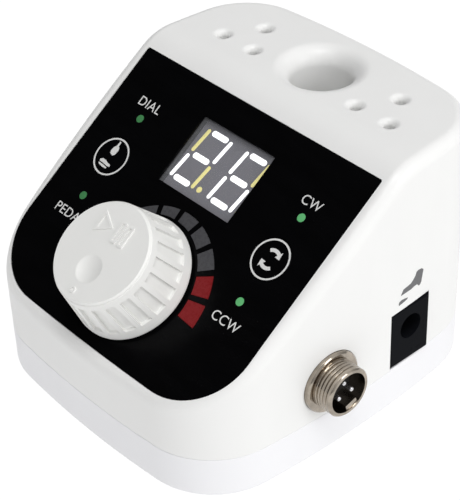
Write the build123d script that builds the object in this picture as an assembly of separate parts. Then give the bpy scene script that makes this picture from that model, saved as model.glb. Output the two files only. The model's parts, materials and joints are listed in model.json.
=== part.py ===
from build123d import *
import math
import os

os.makedirs("parts", exist_ok=True)

# Control box of a small dental motor. Millimetres, X right, Y to the back, Z up.
# Origin: middle of the flat underside of the base cover. The feet reach below it.

# ---------------------------------------------------------------- case
case_w = 85.0           # widest, at the middle of the bowed sides
case_d = 90.8           # deepest, at the middle of the bowed front and back
case_top = 65.0         # flat top above the underside
split_z = 11.15         # joint line between base cover and upper case
bow_r = 265.0           # radius of the bowed walls in plan
corner_front = 19.2     # plan radius of the two front corners
corner_back = 17.2      # plan radius of the two rear corners
wall = 2.2              # side wall thickness
roof = 2.5              # thickness of top and sloping deck
floor_t = 2.0           # floor of the base cover
edge_r = 3.0            # rounding of the edge round the top
base_edge_r = 1.2       # rounding round the underside
split_chamfer = 0.25    # shadow line at the joint
slope_deg = 35.4        # sloping deck, from horizontal
bend_r = 14.5           # bend between flat top and sloping deck
deck_run = 55.08        # front of the case to the rear edge of the panel, level
fit_gap = 0.10          # seated pieces, each side
run_gap = 0.05          # turning or sliding fits, radial
part_gap = 0.30         # moving pieces that pass a fixed piece

# ---------------------------------------------------------------- front panel
panel_margin = 3.9      # case side to panel edge
panel_front = 2.34      # case front to panel edge, level
panel_t = 1.0
panel_sink = 0.15       # panel face below the rim
panel_corner = 17.0     # two front corners
panel_corner_rear = 0.6
panel_bow = 0.9         # rise of the bowed front edge
key_inset = 11.4        # key centre to panel edge
key_v = 26.85           # along the slope from the rear edge of the panel
key_r = 5.1
key_travel = 0.6
key_proud = 0.15
lamp_dv = 11.12         # lamps above and below each key
lamp_r = 1.0
lamp_flange = 0.8       # lamp lens wider under the panel
knob_v = 46.85

# ---------------------------------------------------------------- display
win_w, win_h, win_v = 23.74, 17.84, 16.3
win_lap = 1.0           # window film glued under the panel, each side
win_t = 0.4
disp_w, disp_h, disp_t = 25.0, 19.0, 8.7
disp_face = 2.3         # face of the digits below the panel face
disp_gap = 0.7          # display in its opening, each side
digit_h, digit_w, digit_pitch = 14.5, 8.4, 12.8
digit_lean = 7.0        # degrees
digit_rise = 0.4        # digits above the middle of the window
digit_left = 0.6        # digits left of it, to leave room for the points
bar_flat_t, bar_flat_end = 1.45, 1.05      # level bars: thickness, cut back at each end
bar_tall_t, bar_tall_end = 1.05, 0.45      # upright bars: thickness, moved out from the middle
bar_depth = 0.6
dot_r = 0.75

# ---------------------------------------------------------------- speed arc round the knob
arc_gap = 0.95          # knob flange to the inner edge of the bars
arc_w0, arc_w_step, arc_w_min = 5.3, 0.55, 0.8
arc_n, arc_pitch, arc_span, arc_start = 10, 19.5, 15.0, 94.2
arc_red = 2
arc_clear_case, arc_clear_panel = 0.12, 0.08

# ---------------------------------------------------------------- knob, encoder
knob_r = 15.0           # foot of the side
knob_skirt = 0.6        # upright part of the side at the foot
knob_top_r = 12.3
knob_h = 14.4           # top above the panel
knob_lift = 0.9         # underside above the panel
knob_push = 0.5
knob_ribs, rib_turn = 22, 7.0
rib_w0, rib_w1, rib_depth = 2.85, 2.4, 0.75    # panels between the ribs, at foot and top
rib_foot, rib_top = 2.6, 2.3                   # panel ends above the underside and below the top
mark_line, mark_h = 0.5, 0.3
shaft_r = 3.0
bush_r = 3.5
enc_w, enc_t = 12.0, 6.5

# ---------------------------------------------------------------- boards
board_t = 1.6
board_in = 6.5          # case side to main board edge
board_y_in = 16.9       # case front and back to main board edge
board_tail_in, board_tail_y_in = 17.5, 4.4
ui_margin = 4.6         # panel edge to panel board edge
ui_v0, ui_v1 = 5.0, 54.4
ui_screw_v0, ui_screw_v1 = 8.6, 49.0
ui_screw_in = 3.0

# ---------------------------------------------------------------- holes in the flat top
well_back = 19.66       # rear edge of the panel to the handpiece well
well_r = 7.3
well_mouth = 4.3
well_depth = 42.0
well_wall = 2.0
bur_r = 1.3
bur_mouth = 1.5
bur_depth = 14.0
bur_wall = 1.9
bur_side = 15.3         # case side to the outermost hole
bur_steps = [(0.0, -5.84), (-5.1, 2.96), (-10.4, -5.84)]    # from the outermost hole, y from the well

# ---------------------------------------------------------------- handpiece connector, right side
con_y = -8.85
con_r = 6.0             # threaded barrel
con_flange, con_flange_t = 1.65, 1.45
con_sink = 0.6          # flange seat below the widest point of the wall
con_above = 1.1         # flange above the joint line
con_out = 4.6           # barrel beyond the flange
con_wall = 1.0
con_tail = 9.0
con_grip = 3.4          # wall and boss between flange and washer
con_washer_t, con_nut_t = 0.5, 2.4
thread_pitch, thread_depth, thread_n = 0.95, 0.45, 4
pin_r, pin_circle, pin_back = 0.6, 2.23, 0.9
pin_angles = (97.0, -23.0, -143.0)
polar_angle, polar_w, polar_h = -75.0, 3.2, 1.6

# ---------------------------------------------------------------- pedal socket, right side
jack_w, jack_h, jack_len = 12.7, 15.85, 24.0
jack_y0, jack_sink = 10.1, 0.4
jack_hole_r, jack_hole_len = 3.2, 5.0
jack_inner_r = 3.0
jack_hole_dy, jack_hole_dz = 6.5, 9.55     # hole from the lower front corner of the block
contact_t, contact_half_h = 0.4, 1.2

# ---------------------------------------------------------------- rear side
inlet_x, inlet_w, inlet_h, inlet_len, inlet_sink = -16.0, 9.0, 11.0, 14.0, 1.4
inlet_r, inlet_pin_r, inlet_tail_r, inlet_hole_len = 3.15, 1.05, 0.7, 9.5
sw_z, sw_sink = 25.5, 0.7
sw_w, sw_h, sw_rim = 15.0, 10.5, 1.6       # bezel of the rocker switch
sw_cut_w, sw_cut_h, sw_len = 13.0, 8.6, 11.0
sw_well_gap = 2.0
rocker_w, rocker_h, rocker_gap = 10.6, 6.4, 0.3
rocker_deg = 8.0        # either side of the middle
pivot_r, pivot_depth = 0.8, 1.6
terminal_dx, terminal_len = 3.6, 5.5

# ---------------------------------------------------------------- fasteners, feet
post_in_x, post_in_y, post_r = 10.5, 12.4, 3.6
screw_r, head_r, head_t, screw_len = 1.45, 3.0, 2.2, 18.0
head_sink = 4.0         # seat of the screw head above the underside
foot_in_x, foot_in_y, foot_r, foot_h, foot_seat = 21.5, 10.4, 5.0, 1.5, 1.0
board_screw_in, board_screw_front, board_screw_back = 5.0, 5.0, 3.1
board_screw_r, board_head_r, board_screw_len = 1.1, 2.4, 6.4
ui_screw_r, ui_head_r, ui_screw_len = 0.9, 2.0, 7.0
vent_n, vent_w, vent_pitch, vent_len = 6, 2.0, 6.0, 18.0

# ---------------------------------------------------------------- worked out from the sizes above
LOW = (Align.CENTER, Align.CENTER, Align.MIN)
FAR = 60.0              # long enough to cut right through a wall
sa, ca = math.sin(math.radians(slope_deg)), math.cos(math.radians(slope_deg))
hw, hd = case_w / 2, case_d / 2
deck_y = deck_run - hd
deck_z = case_top - bend_r * (1 - ca)
deck_in = panel_sink - roof                 # inner face of the deck below the panel face
panel_hw = hw - panel_margin
panel_len = (deck_run - panel_front) / ca   # along the slope
ctrl_x = panel_hw - key_inset
ui_h = disp_face + disp_t                   # top of the panel board below the panel face
ui_hw = panel_hw - ui_margin
arc_ri = knob_r + arc_gap
board_top = split_z                         # the sockets stand on the board, level with the joint line
board_bot = board_top - board_t
board_hw, board_hy = hw - board_in, hd - board_y_in
well_y = deck_y + well_back
bur_pts = [(hw - bur_side + dx, well_y + dy) for dx, dy in bur_steps]
con_flange_r = con_r + con_flange
con_z = split_z + con_flange_r + con_above
con_seat_x = hw - con_sink
jack_face = hw - jack_sink
sw_x = well_r + well_wall + sw_well_gap + sw_cut_w / 2
sw_seat = hd - sw_sink
post_pts = [(sx * (hw - post_in_x), sy * (hd - post_in_y)) for sy in (-1, 1) for sx in (-1, 1)]
foot_pts = [(sx * (hw - foot_in_x), sy * (hd - foot_in_y)) for sy in (-1, 1) for sx in (-1, 1)]
board_screw_pts = [(sx * (board_hw - board_screw_in), y) for sx in (-1, 1)
                   for y in (board_screw_front - board_hy, board_hy - board_screw_back)]
ui_screw_pts = [(sx * (ui_hw - ui_screw_in), v) for sx in (-1, 1) for v in (ui_screw_v0, ui_screw_v1)]
lamp_pts = [(sx * ctrl_x, -key_v + sy * lamp_dv) for sx in (-1, 1) for sy in (-1, 1)]

# panel frame: local x right, local y up the slope, local z out of the panel face
PANEL = Plane(origin=(0, deck_y, deck_z), x_dir=(1, 0, 0), z_dir=(0, -sa, ca)).offset(-panel_sink)


def cyl(r, z0, z1, x=0.0, y=0.0):
    return Pos(x, y, z0) * Cylinder(r, z1 - z0, align=LOW)


def block(x0, x1, y0, y1, z0, z1):
    return Pos((x0 + x1) / 2, (y0 + y1) / 2, (z0 + z1) / 2) * Box(x1 - x0, y1 - y0, z1 - z0)


def rod_x(r, x0, x1, y, z):
    return Plane(origin=(x0, y, z), z_dir=(1, 0, 0)).location * Cylinder(r, x1 - x0, align=LOW)


def rod_y(r, y0, y1, x, z):
    return Plane(origin=(x, y0, z), z_dir=(0, 1, 0)).location * Cylinder(r, y1 - y0, align=LOW)


def tilt(shape):
    return PANEL.location * shape


def prism(sketch, z0, z1):
    return Pos(0, 0, z0) * extrude(sketch, z1 - z0)


def edges_at(solid, axis, value):
    return solid.edges().filter_by_position(axis, value - 0.01, value + 0.01)


def outline_of(*points):
    return make_face(Polyline(*points, close=True))


def polar(r, a):
    # a point of the speed arc, angles clockwise from straight up the slope
    return (r * math.sin(a), r * math.cos(a) - knob_v)


def save(name, *shapes):
    solids = []
    for s in shapes:
        solids += list(s.solids())
    body = solids[0] if len(solids) == 1 else Compound(children=solids)
    export_step(body, "parts/" + name + ".step")


def pan_screw(r, hr, ht, length):
    # head above z = 0, shank below, cross slot in the head
    s = cyl(r, -length, 0.01) + cyl(hr, 0, ht)
    s = chamfer(edges_at(s, Axis.Z, ht), ht * 0.3)
    long_slot, short_slot, slot_depth = hr * 1.1, hr * 0.28, ht * 0.9
    s -= Pos(0, 0, ht) * Box(long_slot, short_slot, slot_depth)
    return s - Pos(0, 0, ht) * Box(short_slot, long_slot, slot_depth)


def bowed(w, d):
    # side arcs and end arcs meet at the four corners
    cx, cy = w, d
    for _ in range(20):
        cx = w - bow_r + math.sqrt(bow_r ** 2 - cy ** 2)
        cy = d - bow_r + math.sqrt(bow_r ** 2 - cx ** 2)
    c = [(cx, -cy), (cx, cy), (-cx, cy), (-cx, -cy)]
    m = [(w, 0), (0, d), (-w, 0), (0, -d)]
    face = make_face(Curve() + [ThreePointArc(c[i], m[i], c[(i + 1) % 4]) for i in range(4)])
    face = fillet([v for v in face.vertices() if v.Y < 0], corner_front)
    back = [v for v in face.vertices() if v.Y > cy - 1 and abs(v.X) > cx - 1]
    return fillet(back, corner_back)


def above_roof(drop):
    # everything above the flat top, the bend and the sloping deck, lowered by drop
    r, zc = bend_r - drop, case_top - bend_r
    yt, half = deck_y + bend_r * sa, math.radians(slope_deg / 2)
    a, b = (yt, zc + r), (yt - r * sa, zc + r * ca)
    m = (yt - r * math.sin(half), zc + r * math.cos(half))
    reach, top = 2 * case_d, case_top + 30
    e = (b[0] - reach * ca, b[1] - reach * sa)
    path = Curve() + [Line((reach, a[1]), a), ThreePointArc(a, m, b), Line(b, e), Line(e, (e[0], top)),
                      Line((e[0], top), (reach, top)), Line((reach, top), (reach, a[1]))]
    face = Plane.YZ * make_face(path)
    return extrude(face, case_w) + extrude(face, -case_w)


def rim_edges(solid, flat, z_min):
    # edges that run along the outline above z_min
    wire = flat.outer_wire()
    found = []
    for e in solid.edges():
        p = e.position_at(0.5)
        near = wire.distance_to(Vertex(p.X, p.Y, 0)) < 0.02
        if near and p.Z > z_min and abs(e.tangent_at(0.5).Z) < 0.95:
            found.append(e)
    return found


def rounded_mouth(r, mouth):
    # section of a hole's flared mouth under the flat top
    k = mouth * (1 - math.sqrt(0.5))
    return ThreePointArc((r + mouth, case_top), (r + k, case_top - k), (r, case_top - mouth))


def panel_shape(grow):
    w, n = panel_hw + grow, panel_len + grow
    pts = [(-w, grow), (-w, panel_bow - n), (w, panel_bow - n), (w, grow)]
    face = make_face(Curve() + [Line(pts[0], pts[1]), ThreePointArc(pts[1], (0, -n), pts[2]),
                                Line(pts[2], pts[3]), Line(pts[3], pts[0])])
    face = fillet([v for v in face.vertices() if v.Y < -n / 2], panel_corner + grow)
    rear = [v for v in face.vertices() if v.Y > -1 and abs(v.X) > w - 1]
    return fillet(rear, panel_corner_rear)


def arc_bar(k, grow):
    a0 = math.radians(arc_start - k * arc_pitch)
    a1 = a0 - math.radians(arc_span)
    am = (a0 + a1) / 2
    w0 = max(arc_w0 - arc_w_step * k, arc_w_min)
    w1 = max(arc_w0 - arc_w_step * (k + arc_span / arc_pitch), arc_w_min)
    p = [polar(arc_ri, a0), polar(arc_ri + w0, a0), polar(arc_ri + w1, a1), polar(arc_ri, a1)]
    face = make_face(Curve() + [Line(p[0], p[1]), ThreePointArc(p[1], polar(arc_ri + (w0 + w1) / 2, am), p[2]),
                                Line(p[2], p[3]), ThreePointArc(p[3], polar(arc_ri, am), p[0])])
    return offset(face, amount=grow, kind=Kind.INTERSECTION) if grow else face


# ================================================================= upper case
outline = bowed(hw, hd)
inline = offset(outline, amount=-wall)
shell = prism(outline, split_z, case_top + 5) - above_roof(0)
shell = fillet(rim_edges(shell, outline.faces()[0], split_z + 2), edge_r)
shell -= prism(inline, split_z - 1, case_top + 5) - above_roof(roof)

# bosses hung from the deck and the top, kept inside the middle of the wall
inside = prism(offset(outline, amount=-wall / 2), split_z, case_top + 5) - above_roof(roof / 2)
con_boss_r = con_r + 3.4
sw_boss_x, sw_boss_z, sw_boss_y = 2.0, 1.75, 4.2
posts = cyl(well_r + well_wall, case_top - well_depth - well_wall, case_top, 0, well_y)
for x, y in post_pts:
    posts += cyl(post_r, split_z, case_top, x, y)
for bx, by in bur_pts:
    for s in (-1, 1):
        posts += cyl(bur_r + bur_wall, case_top - bur_depth - bur_mouth, case_top, s * bx, by)
posts += rod_x(con_boss_r, con_seat_x - con_grip, hw, con_y, con_z)
posts += block(sw_x - sw_w / 2 - sw_boss_x, sw_x + sw_w / 2 + sw_boss_x, hd - sw_boss_y, hd,
               sw_z - sw_h / 2 - sw_boss_z, sw_z + sw_h / 2 + sw_boss_z)
shell += posts & inside
deck_top = 1.5          # bosses of the deck start this far below the panel face
deck_boss = tilt(cyl(enc_w / 2 + 2.6, enc_t - ui_h, -deck_top, 0, -knob_v))
for x, v in ui_screw_pts:
    deck_boss += tilt(cyl(ui_screw_r + 1.7, -ui_h, -deck_top, x, -v))
shell += deck_boss & inside

# mouth and bore of the handpiece well
mouth_r, mouth_wall = well_r + well_mouth, 1.2
shell -= cyl(well_r, case_top - well_depth, case_top + 1, 0, well_y)
flare = make_face(Curve() + [
    Line((well_r, case_top - well_mouth), (well_r, case_top + 1)),
    Line((well_r, case_top + 1), (mouth_r, case_top + 1)),
    Line((mouth_r, case_top + 1), (mouth_r, case_top)),
    rounded_mouth(well_r, well_mouth)])
collar = cyl(mouth_r + mouth_wall, case_top - well_mouth - mouth_wall / 2, case_top - roof / 4, 0, well_y)
shell += collar - cyl(well_r, 0, case_top + 1, 0, well_y)
shell -= Pos(0, well_y, 0) * revolve(Plane.XZ * flare, axis=Axis.Z)

dish = make_face(Curve() + [
    Line((0, case_top + 1), (bur_r + bur_mouth, case_top + 1)),
    Line((bur_r + bur_mouth, case_top + 1), (bur_r + bur_mouth, case_top)),
    rounded_mouth(bur_r, bur_mouth),
    Line((bur_r, case_top - bur_mouth), (bur_r, case_top - bur_depth)),
    Line((bur_r, case_top - bur_depth), (0, case_top - bur_depth)),
    Line((0, case_top - bur_depth), (0, case_top + 1))])
dish = revolve(Plane.XZ * dish, axis=Axis.Z)
for bx, by in bur_pts:
    for s in (-1, 1):
        shell -= Pos(s * bx, by, 0) * dish

# recess and openings of the sloping deck
win_cut_w, win_cut_h = disp_w + 2 * disp_gap, disp_h + 2 * disp_gap
through = (-8, 4)       # cuts through the deck, panel frame
lamp_cut_r = lamp_r + lamp_flange + 0.15
shell -= tilt(prism(panel_shape(fit_gap), -panel_t, 12))
shell -= tilt(Pos(0, -win_v, 0) * Box(win_cut_w, win_cut_h, 12))
for s in (-1, 1):
    shell -= tilt(cyl(key_r + part_gap, *through, s * ctrl_x, -key_v))
for x, y in lamp_pts:
    shell -= tilt(cyl(lamp_cut_r, *through, x, y))
shell -= tilt(cyl(bush_r + fit_gap, -12, 4, 0, -knob_v))
for x, v in ui_screw_pts:
    shell -= tilt(cyl(ui_screw_r + run_gap, -ui_h - 1, deck_in - 1.0, x, -v))
for k in range(arc_n):
    shell -= tilt(prism(arc_bar(k, arc_clear_case), *through))

# side and rear openings
shell -= rod_x(con_r + run_gap, con_seat_x - 6, hw + 3, con_y, con_z)
shell -= rod_x(con_flange_r + fit_gap, con_seat_x, hw + 3, con_y, con_z)
shell -= block(jack_face - 8, hw + 3, jack_y0 - fit_gap, jack_y0 + jack_w + fit_gap, 0,
               split_z + jack_h + fit_gap)
shell -= block(inlet_x - inlet_w / 2 - fit_gap, inlet_x + inlet_w / 2 + fit_gap, hd - 8, hd + 3, 0,
               split_z + inlet_h + fit_gap)
shell -= block(sw_x - sw_cut_w / 2 - fit_gap, sw_x + sw_cut_w / 2 + fit_gap, hd - 8, hd + 3,
               sw_z - sw_cut_h / 2 - fit_gap, sw_z + sw_cut_h / 2 + fit_gap)
shell -= block(sw_x - sw_w / 2 - fit_gap, sw_x + sw_w / 2 + fit_gap, sw_seat, hd + 3,
               sw_z - sw_h / 2 - fit_gap, sw_z + sw_h / 2 + fit_gap)
for x, y in post_pts:
    shell -= cyl(screw_r + run_gap, split_z - 1, head_sink + screw_len + 2.0, x, y)
save("upper_case", shell)

# ================================================================= base cover
base = prism(outline, 0, split_z)
base = fillet(edges_at(base, Axis.Z, 0), base_edge_r)
base = chamfer(edges_at(base, Axis.Z, split_z), split_chamfer)
base -= prism(inline, floor_t, split_z + 1)
for x, y in post_pts:
    base += cyl(head_r + 1.3, floor_t - 0.5, split_z, x, y)
    base -= cyl(screw_r + 0.25, -1, split_z + 1, x, y)
    base -= cyl(head_r + part_gap, -1, head_sink, x, y)
for x, y in board_screw_pts:
    base += cyl(3.2, floor_t - 0.5, board_bot, x, y)
    base -= cyl(board_screw_r + run_gap, floor_t + 0.5, split_z + 1, x, y)
for x, y in foot_pts:
    base -= cyl(foot_r + fit_gap, -1, foot_seat, x, y)
    base += cyl(foot_r + 1.6, floor_t - 0.2, floor_t + 0.8, x, y)
for i in range(vent_n):
    x = (i - vent_n // 2) * vent_pitch + vent_w
    base -= block(x, x + vent_w, -vent_len / 2, vent_len / 2, -1, floor_t + 1)
save("base_cover", base)

feet = [cyl(foot_r, -foot_h, foot_seat, x, y) for x, y in foot_pts]
save("rubber_feet", *[chamfer(f.edges().sort_by(Axis.Z)[:1], 0.4) for f in feet])

case_screw = Rot(180, 0, 0) * pan_screw(screw_r, head_r, head_t, screw_len)
save("case_screws", *[Pos(x, y, head_sink) * case_screw for x, y in post_pts])

# ================================================================= front panel pieces
hub_hole_r = 7.2
film_seat = 0.55        # pocket for the window film, below the panel face
over = prism(panel_shape(0), -panel_t, 0)
over -= Pos(0, -win_v, 0) * Box(win_w, win_h, 6)
film_pocket = Pos(0, -win_v) * RectangleRounded(win_w + 2 * win_lap, win_h + 2 * win_lap, 0.8)
over -= prism(film_pocket, -panel_t - 1, -film_seat)
for s in (-1, 1):
    over -= cyl(key_r + part_gap / 2, -3, 3, s * ctrl_x, -key_v)
for x, y in lamp_pts:
    over -= cyl(lamp_r + run_gap, -3, 3, x, y)
over -= cyl(hub_hole_r, -3, 3, 0, -knob_v)
for k in range(arc_n):
    over -= prism(arc_bar(k, arc_clear_panel), -3, 3)
save("panel_overlay", tilt(over))

film_w, film_h = win_w + 2 * win_lap - 2 * fit_gap, win_h + 2 * win_lap - 2 * fit_gap
film = prism(Pos(0, -win_v) * RectangleRounded(film_w, film_h, 0.7), -panel_t, win_t - panel_t)
save("display_window", tilt(film))

bezel_mid = -(panel_t + disp_face) / 2
bezel = Pos(0, -win_v, bezel_mid) * Box(win_cut_w - 2 * fit_gap, win_cut_h - 2 * fit_gap, disp_face - panel_t)
bezel -= Pos(0, -win_v, 0) * Box(win_w + 2 * fit_gap, win_h + 2 * fit_gap, 20)
save("display_bezel", tilt(bezel))

lean = math.tan(math.radians(digit_lean))


def digit_bar(x0, y0, x1, y1, thick):
    # round-ended bar between two points of a leaning digit
    a, b = (x0 + y0 * lean, y0), (x1 + y1 * lean, y1)
    dx, dy = b[0] - a[0], b[1] - a[1]
    middle = Pos((a[0] + b[0]) / 2, (a[1] + b[1]) / 2)
    return middle * Rot(0, 0, math.degrees(math.atan2(dy, dx))) * SlotOverall(math.hypot(dx, dy), thick)


def digit():
    w, h = (digit_w - bar_tall_t) / 2, (digit_h - bar_flat_t) / 2
    reach = w - bar_flat_end
    flat = [digit_bar(-reach, y, reach, y, bar_flat_t) for y in (-h, 0, h)]
    tall = [digit_bar(x, s * bar_tall_end, x, s * (h + bar_tall_end * 0.8), bar_tall_t)
            for x in (-w, w) for s in (-1, 1)]
    dot = Pos(digit_w / 2 + 0.8, -h + 0.3) * Circle(dot_r)
    return flat + tall + [dot]


glow = []
for side in (-1, 1):
    centre = Pos(side * digit_pitch / 2 - digit_left, digit_rise - win_v)
    glow += [prism(centre * shape, -disp_face - bar_depth, -disp_face) for shape in digit()]
module = Pos(0, -win_v, -disp_face - disp_t / 2) * Box(disp_w, disp_h, disp_t)
module -= Pos(0, -win_v, 1.0 - ui_h) * Box(disp_w - 3, disp_h - 3, 3.0)
for g in glow:
    module -= g
save("display_module", tilt(module))
save("display_segments", *[tilt(g) for g in glow])

strip_w, strip_t, strip_lap = 3.2, 1.2, 1.2


def bar_guide(ks):
    # bars through deck and panel, joined by one strip under the deck
    a0 = math.radians(arc_start - ks[0] * arc_pitch + strip_lap)
    a1 = math.radians(arc_start - ks[-1] * arc_pitch - arc_span - strip_lap)
    am = (a0 + a1) / 2
    r0, r1 = arc_ri - 1.0, arc_ri + strip_w
    strip = make_face(Curve() + [
        Line(polar(r0, a0), polar(r1, a0)), ThreePointArc(polar(r1, a0), polar(r1, am), polar(r1, a1)),
        Line(polar(r1, a1), polar(r0, a1)), ThreePointArc(polar(r0, a1), polar(r0, am), polar(r0, a0))])
    guide = prism(strip, deck_in - strip_t, deck_in)
    for k in ks:
        guide += prism(arc_bar(k, 0), deck_in - strip_t / 2, -0.02)
    return guide


save("bar_lenses_red", tilt(bar_guide(range(arc_red))))
save("bar_lenses_dark", tilt(bar_guide(range(arc_red, arc_n))))

lamp_top, lamp_foot = 0.02, 1.4
save("lamp_lenses", *[tilt(cyl(lamp_r, -panel_t - 0.2, lamp_top, x, y)
                           + cyl(lamp_r + lamp_flange, lamp_foot - ui_h, -panel_t - 0.05, x, y))
                      for x, y in lamp_pts])

# ================================================================= panel board
ui = block(-ui_hw, ui_hw, -ui_v1, -ui_v0, -ui_h - board_t, -ui_h)
ui = fillet(ui.edges().filter_by(Axis.Z), 2.0)
for x, v in ui_screw_pts:
    ui -= cyl(ui_screw_r + 0.35, -ui_h - 3, 1 - ui_h, x, -v)
ui = tilt(ui)
for x, y in post_pts:
    ui -= cyl(post_r + part_gap, split_z, case_top, x, y)
save("panel_board", ui)
ui_screw = Rot(180, 0, 0) * pan_screw(ui_screw_r, ui_head_r, 1.5, ui_screw_len)
save("panel_board_screws", *[tilt(Pos(x, -v, -ui_h - board_t) * ui_screw) for x, v in ui_screw_pts])

led_w, led_d, led_t = 1.6, 1.0, 0.7
chips = [Pos(x, y, led_t / 2 - ui_h) * Box(led_w, led_d, led_t) for x, y in lamp_pts]
for k in range(arc_n):
    a = math.radians(arc_start - k * arc_pitch - arc_span / 2)
    x, y = polar(arc_ri + strip_w / 2, a)
    if y > 1 - ui_v1:
        chips.append(Pos(x, y, led_t / 2 - ui_h) * Rot(0, 0, -math.degrees(a)) * Box(led_w, led_d, led_t))
save("panel_leds", *[tilt(c) for c in chips])

# ================================================================= keys and their switches
tact_w, tact_t, tact_floor = 6.0, 3.5, 0.9
stem_r = 1.7
key_flange, key_flange_t = 1.1, 1.0
dome_top = 1.1 - ui_h
stem_end = dome_top + key_travel + 0.1
flange_top = deck_in - part_gap
for name, s in (("left", -1), ("right", 1)):
    spot = Pos(s * ctrl_x, -key_v, 0)
    key = cyl(key_r, deck_in - 0.5, key_proud)
    key = fillet(edges_at(key, Axis.Z, key_proud), 0.25)
    key += cyl(key_r + key_flange, flange_top - key_flange_t, flange_top)
    key += cyl(stem_r, stem_end, flange_top - key_flange_t / 2)
    save(name + "_key", tilt(spot * key))
    tact = Pos(0, 0, tact_t / 2 - ui_h) * Box(tact_w, tact_w, tact_t)
    tact -= cyl(stem_r + run_gap, tact_floor - ui_h, tact_t - ui_h + 1)
    tact = chamfer(edges_at(tact.edges().filter_by(Axis.Z), Axis.X, tact_w / 2), 0.6)
    save(name + "_key_switch", tilt(spot * tact))
    dome = cyl(stem_r - 0.1, tact_floor - ui_h, dome_top)
    save(name + "_switch_dome", tilt(spot * dome))

# ================================================================= encoder
hub = Pos(0, -knob_v, 0)
enc_top, enc_floor = enc_t - ui_h, 1.0 - ui_h
rotor_r, rotor_t = 4.0, 1.0
cavity_top = enc_top - 1.5
body = Pos(0, 0, enc_t / 2 - ui_h) * Box(enc_w, enc_w, enc_t) + cyl(bush_r, enc_top - 0.5, 2.0)
body -= cyl(shaft_r + run_gap, cavity_top - 1, 4)
body -= cyl(rotor_r + part_gap, enc_floor, cavity_top)
save("encoder_body", tilt(hub * body))

rotor_hi = cavity_top - part_gap
rotor_lo = rotor_hi - rotor_t
shaft_top = knob_h - 4.2
flat_x, flat_z = 1.5, 4.0
shaft = cyl(shaft_r, rotor_lo, shaft_top) + cyl(rotor_r, rotor_lo, rotor_hi)
shaft = chamfer(edges_at(shaft, Axis.Z, shaft_top), 0.5)
shaft -= block(flat_x, 9, -9, 9, flat_z, shaft_top + 5)
save("encoder_shaft", tilt(hub * shaft))

slide_hi = rotor_lo - part_gap
slide_lo = slide_hi - 1.3
slider = cyl(rotor_r - 0.2, slide_hi - 0.9, slide_hi) + cyl(1.2, slide_lo, slide_hi)
save("encoder_slider", tilt(hub * slider))
save("encoder_dome", tilt(hub * cyl(2.6, enc_floor, slide_lo - knob_push - 0.1)))

washer_t, hub_hex_r = 0.5, 5.6
washer = cyl(hub_hex_r, -panel_t, washer_t - panel_t) - cyl(bush_r + fit_gap, -4, 4)
save("encoder_washer", tilt(hub * washer))
nut = prism(RegularPolygon(hub_hex_r, 6), washer_t - panel_t, washer_t - panel_t + 1.9)
save("encoder_nut", tilt(hub * (nut - cyl(bush_r + run_gap, -4, 6))))

# ================================================================= knob
lo, hi = knob_lift, knob_h
skirt_top = lo + knob_skirt
rim, groove = 0.35, 0.15        # bevel and parting groove round the top
prof = make_face(Polyline(
    (0, lo), (knob_r, lo), (knob_r, skirt_top), (knob_top_r + groove, hi - 2 * rim),
    (knob_top_r - groove, hi - 1.7 * rim), (knob_top_r - groove, hi - 1.4 * rim),
    (knob_top_r, hi - 1.2 * rim), (knob_top_r - rim, hi), (0, hi), close=True))
knob = revolve(Plane.XZ * prof, axis=Axis.Z)
# shallow tapered panels between the ribs of the side
side_lean = (knob_r - knob_top_r - groove) / (hi - 2 * rim - skirt_top)
rib_out = 2.8
for i in range(knob_ribs):
    ends = []
    for z, w in ((lo + rib_foot, rib_w0), (hi - rib_top, rib_w1)):
        face_x = knob_r - side_lean * (z - skirt_top) - rib_depth
        ends.append(Pos(face_x + rib_out / 2, 0, z) * Rectangle(rib_out, w))
    knob -= Rot(0, 0, rib_turn + i * 360.0 / knob_ribs) * loft(ends)
# hollow underside with a hub and four webs
hub_r, web_t, roof_t = 5.4, 1.2, 2.6
knob -= cyl(11.2, lo - 1, lo + 2.4)
knob -= cyl(9.6, lo + 2.3, hi - roof_t)
knob += cyl(hub_r, lo + 2.4, hi - 2.0)
for a in (45, 135, 225, 315):
    knob += Rot(0, 0, a) * block(hub_r - 0.4, 10.0, -web_t / 2, web_t / 2, lo + 3.6, hi - 2.2)
bore = cyl(shaft_r + 0.02, lo - 1, shaft_top + 0.3)
knob -= bore - block(flat_x + 0.02, 9, -9, 9, flat_z + knob_push, shaft_top + 5)
# finger dimple toward the front edge of the knob top
dimple_r, dimple_d, dimple_y = 3.6, 0.9, -4.4
ball = (dimple_r ** 2 + dimple_d ** 2) / (2 * dimple_d)
knob -= Pos(0, dimple_y, hi - dimple_d + ball) * Sphere(ball)
# raised outlines of the run and stop marks, and a raised index mark
tri_x, tri_y, tri_w, tri_h = -5.5, 5.65, 4.4, 5.3
triangle = outline_of((tri_x, tri_y + tri_h / 2), (tri_x, tri_y - tri_h / 2), (tri_x + tri_w, tri_y))
marks = [triangle] + [Pos(x, tri_y) * RectangleRounded(1.7, tri_h, 0.4) for x in (0.95, 3.25)]
for m in marks:
    knob += prism(m - offset(m, amount=-mark_line), hi - 0.2, hi + mark_h)
index_mark = Circle(0.75) - Circle(0.35)
knob += prism(Pos(0, -10.0) * index_mark, hi - 0.2, hi + mark_h)
save("knob", tilt(hub * knob))

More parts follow.
